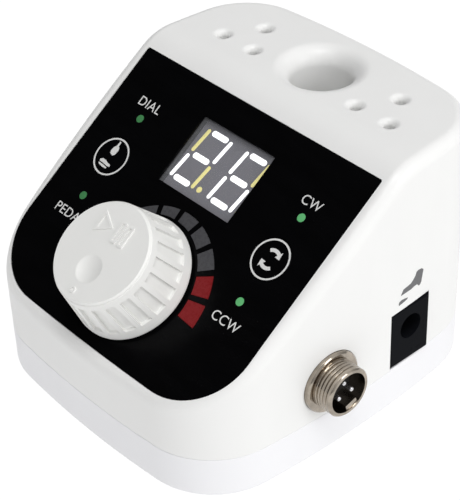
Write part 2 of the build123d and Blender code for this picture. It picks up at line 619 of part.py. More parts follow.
# ================================================================= handpiece connector
cx0 = con_seat_x
cx1 = cx0 + con_flange_t
cx2 = cx1 + con_out
con_bore = con_r - con_wall
barrel = rod_x(con_flange_r, cx0, cx1, con_y, con_z)
barrel = chamfer(edges_at(barrel, Axis.X, cx1), 0.4)
barrel += rod_x(con_r, cx1 - 0.2, cx2, con_y, con_z)
barrel = chamfer(edges_at(barrel, Axis.X, cx2), 0.3)
for i in range(thread_n):
    x, half = cx1 + 0.55 + i * thread_pitch, thread_pitch * 0.38
    groove = outline_of((x - half, con_r + 0.3), (x + half, con_r + 0.3), (x, con_r - thread_depth))
    barrel -= Pos(0, con_y, con_z) * revolve(groove, axis=Axis.X)
barrel += rod_x(con_r - 0.1, cx0 - con_tail, cx0 + 0.2, con_y, con_z)
barrel -= rod_x(con_bore, cx0 - con_tail - 1, cx2 + 1, con_y, con_z)
core_face = cx0 + 1.6
rib = block(core_face, cx2 - 0.25, con_bore - polar_h, con_bore + 0.4, -polar_w / 2, polar_w / 2)
barrel += Pos(0, con_y, con_z) * Rot(polar_angle, 0, 0) * rib
save("connector_shell", barrel)

core = rod_x(con_bore - 0.03, cx0 - con_tail + 1.0, core_face, con_y, con_z)
pins = []
for a in pin_angles:
    py = con_y + pin_circle * math.cos(math.radians(a))
    pz = con_z + pin_circle * math.sin(math.radians(a))
    core -= rod_x(pin_r + 0.01, 0, FAR, py, pz)
    pin = rod_x(pin_r, cx0 - con_tail - 3.0, cx2 - pin_back, py, pz)
    pins.append(fillet(edges_at(pin, Axis.X, cx2 - pin_back), 0.45))
save("connector_insulator", core)
save("connector_pins", *pins)
washer_x = cx0 - con_grip
con_washer = rod_x(con_r + 2.6, washer_x - con_washer_t, washer_x, con_y, con_z)
save("connector_washer", con_washer - rod_x(con_r, 0, FAR, con_y, con_z))
nut_x = washer_x - con_washer_t - con_nut_t
con_nut = Plane(origin=(nut_x, con_y, con_z), z_dir=(1, 0, 0)).location * extrude(
    RegularPolygon(con_r + 2.3, 6), con_nut_t)
save("connector_nut", con_nut - rod_x(con_r, 0, FAR, con_y, con_z))

# ================================================================= pedal socket
j0, j1 = jack_face - jack_len, jack_face
hole_y, hole_z = jack_y0 + jack_hole_dy, board_top + jack_hole_dz
socket = block(j0, j1, jack_y0, jack_y0 + jack_w, board_top, split_z + jack_h)
socket = chamfer(edges_at(socket, Axis.X, j1), 0.5)
socket -= rod_x(jack_hole_r, j1 - jack_hole_len, j1 + 1, hole_y, hole_z)
socket -= rod_x(jack_inner_r, j0 + 2.0, j1 - 1, hole_y, hole_z)
slot_half_y, slot_half_z = 4.6, 1.6
socket -= block(j0 + 4, j1 - jack_hole_len, hole_y - slot_half_y, hole_y + slot_half_y,
                hole_z - slot_half_z, hole_z + slot_half_z)
save("pedal_socket", socket)
contacts = []
for side, back in ((-1, 7.0), (1, 13.0)):
    far = side * (slot_half_y - 0.1)
    near = side * (jack_hole_r + 0.3)
    strip_y = sorted((hole_y + far, hole_y + far - side * contact_t))
    nose_y = sorted((hole_y + far, hole_y + near))
    strip = block(j0 + 4.2, j1 - jack_hole_len - 0.2, *strip_y, hole_z - contact_half_h, hole_z + contact_half_h)
    nose = block(j1 - back - 1.6, j1 - back, *nose_y, hole_z - 1.0, hole_z + 1.0)
    contacts.append(strip + nose)
save("pedal_socket_contacts", *contacts)

# ================================================================= power inlet
i1 = hd - inlet_sink
i0 = i1 - inlet_len
inlet_z = split_z + inlet_h / 2 + 0.6
hole_end = i1 - inlet_hole_len
inlet = block(inlet_x - inlet_w / 2, inlet_x + inlet_w / 2, i0, i1, board_top, split_z + inlet_h)
inlet = chamfer(edges_at(inlet, Axis.Y, i1), 0.35)
inlet -= rod_y(inlet_r, hole_end, i1 + 1, inlet_x, inlet_z)
inlet -= rod_y(inlet_tail_r + 0.02, i0 + 1, i1, inlet_x, inlet_z)
save("power_inlet", inlet)
pin = rod_y(inlet_tail_r, i0 + 1.2, hole_end + 0.5, inlet_x, inlet_z)
pin += rod_y(inlet_pin_r, hole_end + 0.1, i1 - 0.8, inlet_x, inlet_z)
save("power_inlet_pin", fillet(edges_at(pin, Axis.Y, i1 - 0.8), 0.5))

# ================================================================= rocker switch
s1 = sw_seat + sw_rim
housing = block(sw_x - sw_w / 2, sw_x + sw_w / 2, sw_seat, s1, sw_z - sw_h / 2, sw_z + sw_h / 2)
housing = chamfer(edges_at(housing, Axis.Y, s1), 0.4)
housing += block(sw_x - sw_cut_w / 2, sw_x + sw_cut_w / 2, sw_seat - sw_len, sw_seat + 0.1,
                 sw_z - sw_cut_h / 2, sw_z + sw_cut_h / 2)
housing -= block(sw_x - rocker_w / 2 - 0.4, sw_x + rocker_w / 2 + 0.4, sw_seat - 7.0, s1 + 1,
                 sw_z - rocker_h / 2 - rocker_gap, sw_z + rocker_h / 2 + rocker_gap)
pivot_y = sw_seat - pivot_depth
housing -= cyl(pivot_r, sw_z - sw_cut_h, sw_z + sw_cut_h, sw_x, pivot_y)
save("switch_housing", housing)
rx, r_low, r_high, r_mid = rocker_w / 2 - 0.3, -2.2, 3.4, 2.5
rocker = make_face(Curve() + [
    Line((-rx, r_low), (-rx, r_high)), ThreePointArc((-rx, r_high), (0, r_mid), (rx, r_high)),
    Line((rx, r_high), (rx, r_low)), Line((rx, r_low), (-rx, r_low))])
rocker = prism(rocker, -rocker_h / 2, rocker_h / 2)
rocker = fillet(edges_at(rocker.edges().filter_by(Axis.Z), Axis.Y, r_high), 0.5)
rocker -= cyl(pivot_r + run_gap, -9, 9)
rocker += block(-0.6, 0.6, r_low - 1.4, r_low + 0.2, -1.0, 1.0)
# at rest the rocker lies on its off side
save("switch_rocker", Pos(sw_x, pivot_y, sw_z) * Rot(0, 0, -rocker_deg) * rocker)
pivot_half = sw_cut_h / 2 - 0.1
save("switch_pivot", cyl(pivot_r - 0.005, sw_z - pivot_half, sw_z + pivot_half, sw_x, pivot_y))
term_y = sw_seat - sw_len
save("switch_terminals", *[block(sw_x + d - 0.4, sw_x + d + 0.4, term_y - terminal_len, term_y,
                                 sw_z - 2.4, sw_z + 2.4) for d in (-terminal_dx, terminal_dx)])

# ================================================================= main board and its parts
main = block(-board_hw, board_hw, -board_hy, board_hy, board_bot, board_top)
tail_hw, tail_y = hw - board_tail_in, hd - board_tail_y_in
main += block(-tail_hw, tail_hw, board_hy - 1, tail_y, board_bot, board_top)
for x, y in board_screw_pts:
    main -= cyl(board_screw_r + 0.5, 0, 30, x, y)
save("main_board", main)
board_screw = pan_screw(board_screw_r, board_head_r, 1.7, board_screw_len)
save("main_board_screws", *[Pos(x, y, board_top) * board_screw for x, y in board_screw_pts])

cans = []
for x, y, r, h in ((-26.0, 12.0, 5.0, 12.5), (-26.0, 0.0, 5.0, 12.5), (-24.5, 23.0, 4.0, 11.0)):
    can = cyl(r, board_top, board_top + h, x, y)
    cans.append(fillet(edges_at(can, Axis.Z, board_top + h), 0.6))
save("capacitors", *cans)

fet_t, fin_n, fin_t, fin_pitch, sink_x0, sink_w = 2.3, 7, 0.9, 3.75, -15.0, 24.0
sink_y0, sink_y1, sink_plate, sink_h = -14.0, 2.0, 2.0, 6.7
sink = block(sink_x0, sink_x0 + sink_w, sink_y0, sink_y1, board_top + fet_t, board_top + fet_t + sink_plate)
for i in range(fin_n):
    x = sink_x0 + 0.6 + i * fin_pitch
    sink += block(x, x + fin_t, sink_y0, sink_y1, board_top + fet_t + 1, board_top + fet_t + sink_h)
save("heat_sink", sink)
save("motor_drivers", *[Pos(x, y, board_top + fet_t / 2) * Box(6.0, 4.8, fet_t)
                        for x in (-11.0, -3.0, 5.0) for y in (-10.0, -3.0)])
chip_w, chip_t, chip_y = 10.0, 1.5, 12.0
save("controller_chip", Pos(0, chip_y, board_top + chip_t / 2) * Box(chip_w, chip_w, chip_t))

head_n, head_pitch, head_y, head_wall = 8, 2.54, -22.75, 0.8
head_w, head_d, head_h, head_floor = 22.0, 5.5, 6.0, 1.2
header = Pos(0, head_y, board_top + head_h / 2) * Box(head_w, head_d, head_h)
header -= Pos(0, head_y, board_top + head_floor + head_h) * Box(
    head_w - 2 * head_wall, head_d - 2 * head_wall, 2 * head_h)
save("board_header", header)
save("header_pins", *[Pos((i - (head_n - 1) / 2) * head_pitch, head_y, board_top + head_floor + 2.0)
                      * Box(0.6, 0.6, 4.0) for i in range(head_n)])
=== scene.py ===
"""Looks of a dental micromotor control box, built round its CAD frame.

The file is laid out as an add-on: property groups hold the sizes and colours, one operator makes each
group of pieces, a sidebar panel lists the operators, and main() runs them in order.
"""

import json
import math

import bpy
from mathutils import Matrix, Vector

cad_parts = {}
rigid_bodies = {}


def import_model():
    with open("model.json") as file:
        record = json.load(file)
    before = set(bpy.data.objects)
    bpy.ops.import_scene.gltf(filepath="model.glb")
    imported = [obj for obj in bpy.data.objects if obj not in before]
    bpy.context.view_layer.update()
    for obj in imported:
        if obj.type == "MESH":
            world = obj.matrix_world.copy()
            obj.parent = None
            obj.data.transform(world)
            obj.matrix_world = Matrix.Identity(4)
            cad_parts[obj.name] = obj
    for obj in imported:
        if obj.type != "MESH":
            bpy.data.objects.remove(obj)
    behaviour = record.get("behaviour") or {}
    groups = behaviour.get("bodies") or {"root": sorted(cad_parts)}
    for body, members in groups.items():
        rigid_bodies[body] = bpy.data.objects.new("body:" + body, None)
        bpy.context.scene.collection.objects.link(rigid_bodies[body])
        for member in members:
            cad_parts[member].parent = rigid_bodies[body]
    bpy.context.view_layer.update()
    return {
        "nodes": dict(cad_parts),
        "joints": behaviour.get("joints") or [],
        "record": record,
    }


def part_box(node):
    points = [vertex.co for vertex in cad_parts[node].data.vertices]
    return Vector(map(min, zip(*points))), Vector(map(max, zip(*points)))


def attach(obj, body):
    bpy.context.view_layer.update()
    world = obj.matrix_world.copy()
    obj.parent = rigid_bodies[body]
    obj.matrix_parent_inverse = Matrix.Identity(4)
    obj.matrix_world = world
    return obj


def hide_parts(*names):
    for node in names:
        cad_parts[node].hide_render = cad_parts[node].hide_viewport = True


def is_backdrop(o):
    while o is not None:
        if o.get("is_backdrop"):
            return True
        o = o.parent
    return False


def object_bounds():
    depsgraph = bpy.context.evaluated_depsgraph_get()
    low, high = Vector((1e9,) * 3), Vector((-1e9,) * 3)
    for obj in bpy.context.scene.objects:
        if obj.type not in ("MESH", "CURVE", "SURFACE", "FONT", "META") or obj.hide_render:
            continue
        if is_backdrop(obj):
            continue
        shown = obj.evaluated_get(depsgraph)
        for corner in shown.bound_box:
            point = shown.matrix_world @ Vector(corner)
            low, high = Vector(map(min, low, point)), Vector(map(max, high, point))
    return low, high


bl_info = {
    "name": "Dental Micromotor Control Box",
    "version": (1, 0, 0),
    "blender": (4, 5, 0),
    "location": "3D View > Sidebar > Control Box",
    "description": "Finishes and prints the pieces of a dental micromotor control box",
    "category": "Object",
}

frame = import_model()

MM = 0.001
ON = 0.004 * MM             # how far a print stands clear of the face below it
LAMP_HALF = 1.8 * MM        # half width of a lamp lens under the panel
MERGE_GAP = 0.001 * MM      # points of a CAD mesh closer than this are one
FLAT_ANGLE = 0.4            # degrees between faces that count as one flat face
SHARP_ANGLE = 32.0          # degrees past which an edge is broken and shaded sharp
RECORD = frame["record"]
SLOT_COLOUR = {m["slot"]: tuple(m["base_color"][:3]) for m in RECORD["materials"]}
SLOT_OF_NODE = {p["node"]: p["material_slot"] for p in RECORD["subparts"]}
BODY_OF_NODE = {n: b for b, nodes in RECORD["behaviour"]["bodies"].items() for n in nodes}

# panel frame: x to the right, y up the slope, z out of the panel face, origin under the knob
TURN = next(j for j in frame["joints"] if j["name"] == "knob_turn")
OUT = Vector(TURN["axis"]).normalized()
RIGHT = Vector((1.0, 0.0, 0.0))
UP_SLOPE = OUT.cross(RIGHT)
PANEL = Matrix.Translation(TURN["pos_m"]) @ Matrix((RIGHT, UP_SLOPE, OUT)).transposed().to_4x4()


# ------------------------------------------------------------------------------------------ sizes, colours
def colour_property(slot, name, description):
    return bpy.props.FloatVectorProperty(name=name, description=description, subtype="COLOR", size=3,
                                         min=0.0, max=1.0, default=SLOT_COLOUR[slot])


def size_property(name, description, default):
    return bpy.props.FloatProperty(name=name, description=description, default=default * MM, min=0.0,
                                   unit="LENGTH", precision=5)


class BoxColours(bpy.types.PropertyGroup):
    case: colour_property("case_plastic", "Case", "Moulded plastic of the upper case")
    base: colour_property("base_plastic", "Base", "Moulded plastic of the base cover")
    knob: colour_property("knob_white", "Knob", "Moulded plastic of the speed knob")
    panel: colour_property("panel_black", "Panel", "Gloss film of the front panel and the key caps")
    nickel: colour_property("nickel", "Nickel", "Plating of the handpiece connector")
    red_bar: colour_property("lens_red", "Red bars", "First bars of the speed arc")
    dark_bar: colour_property("lens_dark", "Dark bars", "Unlit bars of the speed arc")
    lamp: colour_property("lens_green", "Lamps", "Indicator lamps beside the keys")
    print_white: bpy.props.FloatVectorProperty(
        name="White print", description="Ink of the labels and rings", subtype="COLOR", size=3,
        min=0.0, max=1.0, default=(0.72, 0.72, 0.71))
    print_grey: bpy.props.FloatVectorProperty(
        name="Grey print", description="Ink of the pedal sign on the side wall", subtype="COLOR", size=3,
        min=0.0, max=1.0, default=(0.16, 0.16, 0.165))


class BoxSizes(bpy.types.PropertyGroup):
    print_thickness: size_property("Print thickness", "Thickness of the printed ink", 0.03)
    label_height: size_property("Label height", "Height of the capitals", 2.3)
    label_above: size_property("Upper label", "Label centre above the upper lamp", 3.95)
    label_below: size_property("Lower label", "Label centre below the lower lamp", 5.15)
    ring_width: size_property("Ring width", "Width of the white ring round a key", 0.42)
    ring_inset: size_property("Ring inset", "Ring inside the edge of the key cap", 0.12)
    reading: bpy.props.StringProperty(name="Reading", description="The two digits that are lit", default="26",
                                      maxlen=2)


class BoxView(bpy.types.PropertyGroup):
    azimuth: bpy.props.FloatProperty(name="Azimuth", description="Camera angle round the box from the front",
                                     default=math.radians(49.23), subtype="ANGLE")
    elevation: bpy.props.FloatProperty(name="Elevation", description="Camera angle above the table",
                                       default=math.radians(37.13), subtype="ANGLE")
    roll: bpy.props.FloatProperty(name="Roll", description="Camera turned about its own axis",
                                  default=math.radians(-1.97), subtype="ANGLE")
    distance: size_property("Distance", "Camera to the point it looks at", 376.4)
    lens: bpy.props.FloatProperty(name="Lens", description="Focal length in millimetres", default=132.1)


def sizes():
    return bpy.context.scene.box_sizes


def colours():
    return bpy.context.scene.box_colours


# ------------------------------------------------------------------------------------------ node helpers
def new_material(name):
    material = bpy.data.materials.new(name)
    material.use_nodes = True
    return material, material.node_tree, material.node_tree.nodes["Principled BSDF"]


def node(tree, kind, settings=None, **inputs):
    made = tree.nodes.new(kind)
    for key, value in (settings or {}).items():
        setattr(made, key, value)
    for key, value in inputs.items():
        socket = made.inputs[key.replace("_", " ")]
        if isinstance(value, bpy.types.NodeSocket):
            tree.links.new(value, socket)
        else:
            socket.default_value = value
    return made


def place(tree, stretch=(1.0, 1.0, 1.0), offset=(0.0, 0.0, 0.0), turn=(0.0, 0.0, 0.0)):
    where = node(tree, "ShaderNodeTexCoord")
    moved = node(tree, "ShaderNodeMapping", Vector=where.outputs["Object"])
    moved.inputs["Scale"].default_value = stretch
    moved.inputs["Location"].default_value = offset
    moved.inputs["Rotation"].default_value = turn
    return moved.outputs["Vector"]


def noise(tree, vector, size, detail=2.0, roughness=0.5):
    made = node(tree, "ShaderNodeTexNoise", Vector=vector, Scale=1.0 / size, Detail=detail,
                Roughness=roughness)
    return made.outputs["Fac"]


def spread(tree, value, low, high, start=0.3, end=0.7):
    made = node(tree, "ShaderNodeMapRange", Value=value, From_Min=start, From_Max=end, To_Min=low,
                To_Max=high)
    return made.outputs["Result"]


def two_tones(tree, value, first, second, start=0.35, end=0.65):
    ramp = node(tree, "ShaderNodeValToRGB", Fac=value)
    ramp.color_ramp.elements[0].position = start
    ramp.color_ramp.elements[1].position = end
    ramp.color_ramp.elements[0].color = (*first, 1.0)
    ramp.color_ramp.elements[1].color = (*second, 1.0)
    return ramp.outputs["Color"]


def shade(colour, factor):
    return tuple(min(1.0, c * factor) for c in colour)


def bumped(tree, shader, height, strength, depth):
    bump = node(tree, "ShaderNodeBump", Height=height, Strength=strength, Distance=depth)
    tree.links.new(bump.outputs["Normal"], shader.inputs["Normal"])


# ------------------------------------------------------------------------------------------ materials
def moulded(name, colour, rough, grain, depth, mottle, specular=0.5):
    """Moulded plastic: fine spark texture in millimetres, faint flow marks in the colour, uneven gloss."""
    material, tree, shader = new_material(name)
    where = place(tree)
    fine = noise(tree, where, grain * MM, 3.0, 0.6)
    flow = noise(tree, place(tree, (1.0, 1.0, 0.45)), 14 * MM, 3.0, 0.55)
    tree.links.new(two_tones(tree, flow, shade(colour, 1.0 - mottle), colour), shader.inputs["Base Color"])
    tree.links.new(spread(tree, noise(tree, where, 5 * MM), rough * 0.88, rough * 1.12),
                   shader.inputs["Roughness"])
    shader.inputs["Specular IOR Level"].default_value = specular
    bumped(tree, shader, fine, 0.35, depth * MM)
    return material


def gloss_film(name, colour, rough, specular):
    """Back-printed panel film: near-black ink under a clear face with orange peel and faint wiping marks."""
    material, tree, shader = new_material(name)
    where = place(tree)
    peel = noise(tree, where, 1.6 * MM, 2.0, 0.5)
    wiped = noise(tree, place(tree, (0.25, 1.0, 1.0), turn=(0.0, 0.0, 0.6)), 3.5 * MM, 4.0, 0.6)
    tones = two_tones(tree, wiped, shade(colour, 0.85), shade(colour, 1.1))
    tree.links.new(tones, shader.inputs["Base Color"])
    tree.links.new(spread(tree, wiped, rough * 0.9, rough * 1.12), shader.inputs["Roughness"])
    shader.inputs["Specular IOR Level"].default_value = specular
    bumped(tree, shader, peel, 0.12, 0.01 * MM)
    return material


def plated(name, colour, rough, grain, tarnish, turned=True):
    """Plated or rolled metal: fine tool marks, a little tarnish and uneven gloss."""
    material, tree, shader = new_material(name)
    stretch = (6.0, 1.0, 1.0) if turned else (1.0, 1.0, 4.0)
    lines = noise(tree, place(tree, stretch), grain * MM, 3.0, 0.6)
    stain = noise(tree, place(tree), 3.0 * MM, 3.0, 0.6)
    tree.links.new(two_tones(tree, stain, shade(colour, 1.0 - tarnish), colour), shader.inputs["Base Color"])
    tree.links.new(spread(tree, lines, rough * 0.75, rough * 1.3), shader.inputs["Roughness"])
    shader.inputs["Metallic"].default_value = 1.0
    bumped(tree, shader, lines, 0.15, 0.02 * MM)
    return material


def rubber(name, colour):
    """Moulded rubber: matt, grainy, with a grey bloom."""
    material, tree, shader = new_material(name)
    where = place(tree)
    bloom = noise(tree, where, 4 * MM, 4.0, 0.65)
    tree.links.new(two_tones(tree, bloom, colour, shade(colour, 1.7)), shader.inputs["Base Color"])
    tree.links.new(spread(tree, bloom, 0.7, 0.92), shader.inputs["Roughness"])
    shader.inputs["Sheen Weight"].default_value = 0.15
    bumped(tree, shader, noise(tree, where, 0.25 * MM, 3.0, 0.7), 0.5, 0.03 * MM)
    return material


def lens(name, colour, glow=0.0, glow_colour=None, rough=0.28, specular=0.12):
    """Tinted lens over a lamp: lightly frosted, with an even glow when one is given; the unlit display bars
    get this glow as painted light.
    """
    material, tree, shader = new_material(name)
    where = place(tree)
    cloud = noise(tree, where, 0.8 * MM, 3.0, 0.6)
    tones = two_tones(tree, cloud, shade(colour, 0.95), shade(colour, 1.04))
    tree.links.new(tones, shader.inputs["Base Color"])
    tree.links.new(spread(tree, cloud, rough * 0.8, rough * 1.2), shader.inputs["Roughness"])
    shader.inputs["Specular IOR Level"].default_value = specular
    if glow:
        shader.inputs["Emission Color"].default_value = (*(glow_colour or colour), 1.0)
        shader.inputs["Emission Strength"].default_value = glow
    bumped(tree, shader, noise(tree, where, 0.2 * MM, 2.0, 0.5), 0.2, 0.01 * MM)
    return material


def board(name, colour):
    """Solder mask over copper: tracks show as a slightly raised, lighter pattern."""
    material, tree, shader = new_material(name)
    tracks = node(tree, "ShaderNodeTexBrick", {"offset": 0.35, "squash": 1.0}, Vector=place(tree), Scale=1.0)
    tracks.inputs["Brick Width"].default_value = 7.4 * MM
    tracks.inputs["Row Height"].default_value = 1.9 * MM
    tracks.inputs["Mortar Size"].default_value = 0.22 * MM
    tracks.inputs["Color1"].default_value = (*colour, 1.0)
    tracks.inputs["Color2"].default_value = (*shade(colour, 0.8), 1.0)
    tracks.inputs["Mortar"].default_value = (*shade(colour, 1.9), 1.0)
    tree.links.new(tracks.outputs["Color"], shader.inputs["Base Color"])
    cloud = noise(tree, place(tree), 2.5 * MM, 3.0, 0.6)
    tree.links.new(spread(tree, cloud, 0.28, 0.42), shader.inputs["Roughness"])
    bumped(tree, shader, tracks.outputs["Fac"], 0.4, 0.03 * MM)
    return material


def film(name, colour):
    """Clear display film with a faint smoke tint and a few wiping marks."""
    material, tree, shader = new_material(name)
    wiped = noise(tree, place(tree, (0.3, 1.0, 1.0)), 4 * MM, 4.0, 0.6)
    tree.links.new(two_tones(tree, wiped, shade(colour, 0.9), colour), shader.inputs["Base Color"])
    tree.links.new(spread(tree, wiped, 0.05, 0.14), shader.inputs["Roughness"])
    shader.inputs["Alpha"].default_value = 0.06
    shader.inputs["Specular IOR Level"].default_value = 0.25
    bumped(tree, shader, wiped, 0.05, 0.01 * MM)
    return material


def ink(name, colour):
    """Screen-printed ink: matt, with a slightly uneven edge-to-edge cover."""
    material, tree, shader = new_material(name)
    cover = noise(tree, place(tree), 0.5 * MM, 3.0, 0.7)
    tones = two_tones(tree, cover, shade(colour, 0.85), colour, 0.3, 0.55)
    tree.links.new(tones, shader.inputs["Base Color"])
    tree.links.new(spread(tree, cover, 0.5, 0.7), shader.inputs["Roughness"])
    shader.inputs["Specular IOR Level"].default_value = 0.2
    bumped(tree, shader, cover, 0.2, 0.01 * MM)
    return material


def finish_of(slot):
    """The material of one slot of the record, made the first time it is asked for."""
    if slot in bpy.data.materials and bpy.data.materials[slot].get("finished"):
        return bpy.data.materials[slot]
    base, c = SLOT_COLOUR[slot], colours()
    made = {
        "case_plastic": lambda n: moulded(n, c.case, rough=0.36, grain=0.22, depth=0.008, mottle=0.015),
        "base_plastic": lambda n: moulded(n, c.base, rough=0.38, grain=0.22, depth=0.008, mottle=0.015),
        "foot_rubber": lambda n: rubber(n, base),
        "steel_screw": lambda n: plated(n, base, rough=0.34, grain=0.4, tarnish=0.2, turned=False),
        "panel_black": lambda n: gloss_film(n, shade(c.panel, 0.15), rough=0.24, specular=0.06),
        "clear_window": lambda n: film(n, base),
        "bezel_black": lambda n: moulded(n, base, rough=0.5, grain=0.3, depth=0.02, mottle=0.1,
                                         specular=0.25),
        "display_face": lambda n: moulded(n, base, rough=0.55, grain=0.25, depth=0.01, mottle=0.06,
                                          specular=0.25),
        "segment_lit": lambda n: lens(n, base, glow=0.9, glow_colour=(0.93, 0.94, 1.0)),
        "lens_red": lambda n: lens(n, c.red_bar, glow=0.02, glow_colour=(0.9, 0.02, 0.02)),
        "lens_dark": lambda n: lens(n, c.dark_bar),
        "lens_green": lambda n: lens(n, c.lamp, glow=0.05, glow_colour=(0.15, 0.8, 0.3)),
        "board_green": lambda n: board(n, base),
        "led_chip": lambda n: lens(n, base, rough=0.4),
        "part_black": lambda n: moulded(n, base, rough=0.45, grain=0.2, depth=0.02, mottle=0.15,
                                        specular=0.35),
        "part_white": lambda n: moulded(n, base, rough=0.45, grain=0.3, depth=0.01, mottle=0.05,
                                        specular=0.4),
        "steel_bright": lambda n: plated(n, base, rough=0.25, grain=0.3, tarnish=0.1, turned=False),
        "knob_white": lambda n: moulded(n, c.knob, rough=0.42, grain=0.25, depth=0.006, mottle=0.02),
        "nickel": lambda n: plated(n, c.nickel, rough=0.13, grain=0.6, tarnish=0.3),
        "contact_gold": lambda n: plated(n, base, rough=0.22, grain=0.4, tarnish=0.12),
        "socket_black": lambda n: moulded(n, shade(base, 0.3), rough=0.3, grain=0.3, depth=0.01, mottle=0.12,
                                          specular=0.012),
        "rocker_black": lambda n: moulded(n, base, rough=0.32, grain=0.3, depth=0.01, mottle=0.12,
                                          specular=0.4),
        "can_sleeve": lambda n: moulded(n, base, rough=0.3, grain=1.5, depth=0.02, mottle=0.2),
        "alu_fins": lambda n: plated(n, base, rough=0.3, grain=0.25, tarnish=0.08, turned=False),
    }[slot](slot + "_finish")
    old = bpy.data.materials.get(slot)
    if old:
        old.name = slot + "_packed"
    made.name = slot
    made["finished"] = True
    return made


def finish_extra(name):
    """Materials of prints and of lit or unlit lenses, which share a slot of the record."""
    if name in bpy.data.materials:
        return bpy.data.materials[name]
    c = colours()
    return {
        "ink_white": lambda: ink(name, c.print_white),
        "ink_grey": lambda: ink(name, c.print_grey),
        # the unlit bars glow though no lamp lights them: this warm glow is painted light on the pale epoxy
        "bar_unlit_painted_glow": lambda: lens(name, (0.78, 0.7, 0.25), glow=0.3, glow_colour=(0.95, 0.85, 0.35)),
        "lamp_bright": lambda: lens(name, shade(c.lamp, 1.7), glow=0.14, glow_colour=(0.25, 0.75, 0.36)),
        "lamp_dim": lambda: lens(name, c.lamp, glow=0.03, glow_colour=(0.2, 0.6, 0.3)),
    }[name]()


# ------------------------------------------------------------------------------------------ mesh helpers
def only(*pieces):
    if bpy.context.object and bpy.context.object.mode != "OBJECT":
        bpy.ops.object.mode_set(mode="OBJECT")
    bpy.ops.object.select_all(action="DESELECT")
    for piece in pieces:
        piece.select_set(True)
    bpy.context.view_layer.objects.active = pieces[0]


def edit_all(piece):
    only(piece)
    bpy.ops.object.mode_set(mode="EDIT")
    bpy.ops.mesh.select_all(action="SELECT")


def done_editing():
    bpy.ops.object.mode_set(mode="OBJECT")


def paint(piece, material):
    if not piece.material_slots:
        piece.data.materials.append(material)
    for held in piece.material_slots:
        held.material = material


def modify(piece, kind, **settings):
    only(piece)
    modifier = piece.modifiers.new(kind.title(), kind)
    for key, value in settings.items():
        setattr(modifier, key, value)
    bpy.ops.object.modifier_apply(modifier=modifier.name)


def merged_copy(cad_node, name):
    piece = bpy.data.objects.new(name, frame["nodes"][cad_node].data.copy())
    bpy.context.scene.collection.objects.link(piece)
    edit_all(piece)
    bpy.ops.mesh.remove_doubles(threshold=MERGE_GAP)
    bpy.ops.mesh.customdata_custom_splitnormals_clear()
    done_editing()
    paint(piece, finish_of(SLOT_OF_NODE[cad_node]))
    return piece


def refined(cad_node, name, edge, steps=2, angle=SHARP_ANGLE):
    """A merged copy of a CAD node, its sharp edges broken by edge millimetres and smooth between them."""
    piece = merged_copy(cad_node, name)
    edit_all(piece)
    bpy.ops.mesh.dissolve_limited(angle_limit=math.radians(FLAT_ANGLE), delimit={"NORMAL"})
    done_editing()
    modify(piece, "BEVEL", width=edge * MM, segments=steps, limit_method="ANGLE",
           angle_limit=math.radians(angle), use_clamp_overlap=True, harden_normals=False)
    only(piece)
    bpy.ops.object.shade_smooth_by_angle(angle=math.radians(angle))
    modify(piece, "WEIGHTED_NORMAL", keep_sharp=True, weight=60)
    modify(piece, "TRIANGULATE", keep_custom_normals=True)
    stand_for(piece, cad_node)
    return piece


def stand_for(piece, cad_node):
    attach(piece, BODY_OF_NODE[cad_node])
    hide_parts(cad_node)


def panel_box(piece):
    """Lowest and highest corner of a piece in the panel frame."""
    inverse = PANEL.inverted()
    points = [inverse @ v.co for v in piece.data.vertices]
    low = Vector([min(p[i] for p in points) for i in range(3)])
    high = Vector([max(p[i] for p in points) for i in range(3)])
    return low, high


def panel_centre(piece):
    low, high = panel_box(piece)
    return (low + high) / 2


def loose_parts(cad_node, name):
    """The separate solids of a CAD node as pieces of their own."""
    piece = merged_copy(cad_node, name)
    edit_all(piece)
    bpy.ops.mesh.separate(type="LOOSE")
    done_editing()
    return list(bpy.context.selected_objects)


def joined(parts, name, cad_node, edge):
    """Joins painted loose parts into the piece that stands for a CAD node, with its edges broken."""
    first = parts[0]
    only(first, *parts[1:])
    bpy.ops.object.join()
    first.name = name
    modify(first, "BEVEL", width=edge * MM, segments=2, limit_method="ANGLE",
           angle_limit=math.radians(SHARP_ANGLE))
    only(first)
    bpy.ops.object.shade_smooth_by_angle(angle=math.radians(SHARP_ANGLE))
    stand_for(first, cad_node)
    return first


# ------------------------------------------------------------------------------------------ prints
def circle(radius, x=0.0, y=0.0, steps=64):
    turns = [2 * math.pi * i / steps for i in range(steps)]
    return [(x + radius * math.cos(t), y + radius * math.sin(t)) for t in turns]


def arc(radius, start, end, steps=12):
    turns = [math.radians(start + (end - start) * i / steps) for i in range(steps + 1)]
    return [(radius * math.cos(t), radius * math.sin(t)) for t in turns]


def printed(name, outlines, where, body, material):
    """Flat print from closed outlines in millimetres, placed by a matrix whose z is out of the face."""
    thickness = sizes().print_thickness
    curve = bpy.data.curves.new(name, "CURVE")
    curve.dimensions = "2D"
    curve.fill_mode = "BOTH"
    curve.extrude = thickness / 2
    for outline in outlines:
        spline = curve.splines.new("POLY")
        spline.points.add(len(outline) - 1)
        for point, (x, y) in zip(spline.points, outline):
            point.co = (x * MM, y * MM, 0.0, 1.0)
        spline.use_cyclic_u = True
    piece = bpy.data.objects.new(name, curve)
    bpy.context.scene.collection.objects.link(piece)
    return placed_print(piece, where, body, material)


def placed_print(piece, where, body, material):
    """Turns flat print or text into a mesh, lays it just clear of its face and gives it its ink."""
    only(piece)
    bpy.ops.object.convert(target="MESH")
    piece = bpy.context.object
    edit_all(piece)
    bpy.ops.mesh.remove_doubles(threshold=0.0005 * MM)
    bpy.ops.mesh.normals_make_consistent(inside=False)
    done_editing()
    piece.data.transform(where @ Matrix.Translation((0.0, 0.0, sizes().print_thickness / 2 + ON)))
    piece.data.materials.clear()
    piece.data.materials.append(finish_extra(material))
    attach(piece, body)
    return piece


